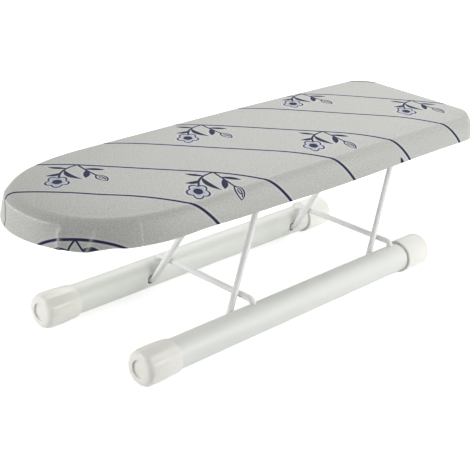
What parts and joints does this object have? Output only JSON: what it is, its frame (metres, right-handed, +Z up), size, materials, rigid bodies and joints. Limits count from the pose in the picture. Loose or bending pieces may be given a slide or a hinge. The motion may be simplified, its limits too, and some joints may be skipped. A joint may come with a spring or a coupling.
{
  "type": "tabletop ironing board",
  "caption": "Padded tabletop ironing board with a rounded nose and a cloth cover, on wire legs that fold over a base of capped foot tubes.",
  "frame": {"origin": "on the table under the middle of the board, at the lowest point of the end caps", "axes": "+X from the rounded nose to the square rear end, +Y to the left seen from the nose looking towards the rear end, +Z up"},
  "size_m": [0.52, 0.1656, 0.1582],
  "materials": {
    "cover_cloth": "woven metallised cotton, printed",
    "pad_foam": "open cell foam",
    "chipboard": "raw chipboard",
    "coated_wire": "satin powder coat",
    "coated_tube": "satin powder coat",
    "cap_plastic": "satin moulded",
    "zinc_steel": "zinc plated"
  },
  "bodies": {
    "base": {"left_foot_tube": "coated_tube", "right_foot_tube": "coated_tube", "left_front_cap": "cap_plastic", "right_front_cap": "cap_plastic", "left_rear_cap": "cap_plastic", "right_rear_cap": "cap_plastic", "front_stop_wire": "coated_wire", "rear_stop_wire": "coated_wire"},
    "front_leg": {"front_leg_wire": "coated_wire"},
    "rear_leg": {"rear_leg_wire": "coated_wire"},
    "board": {"board_core": "chipboard", "foam_pad": "pad_foam", "fabric_cover": "cover_cloth", "front_left_saddle": "zinc_steel", "front_right_saddle": "zinc_steel", "rear_left_saddle": "zinc_steel", "rear_right_saddle": "zinc_steel", "front_left_front_screw": "zinc_steel", "front_left_rear_screw": "zinc_steel", "front_right_front_screw": "zinc_steel", "front_right_rear_screw": "zinc_steel", "rear_left_front_screw": "zinc_steel", "rear_left_rear_screw": "zinc_steel", "rear_right_front_screw": "zinc_steel", "rear_right_rear_screw": "zinc_steel"}
  },
  "joints": [
    {"name": "front_leg_fold", "type": "hinge", "parent": "base", "child": "front_leg", "pos_m": [-0.07, 0, 0.0165], "axis": [0, -1, 0], "range_deg": [0, 111]},
    {"name": "rear_leg_fold", "type": "hinge", "parent": "base", "child": "rear_leg", "pos_m": [0.133, 0, 0.0165], "axis": [0, -1, 0], "range_deg": [0, 111]},
    {"name": "board_level", "type": "hinge", "parent": "front_leg", "child": "board", "pos_m": [-0.00273, 0, 0.1298], "axis": [0, -1, 0], "range_deg": [-111, 0]}
  ],
  "couplings": [
    {"joint": "rear_leg_fold", "follows": "front_leg_fold", "ratio": 1},
    {"joint": "board_level", "follows": "front_leg_fold", "ratio": -1}
  ]
}
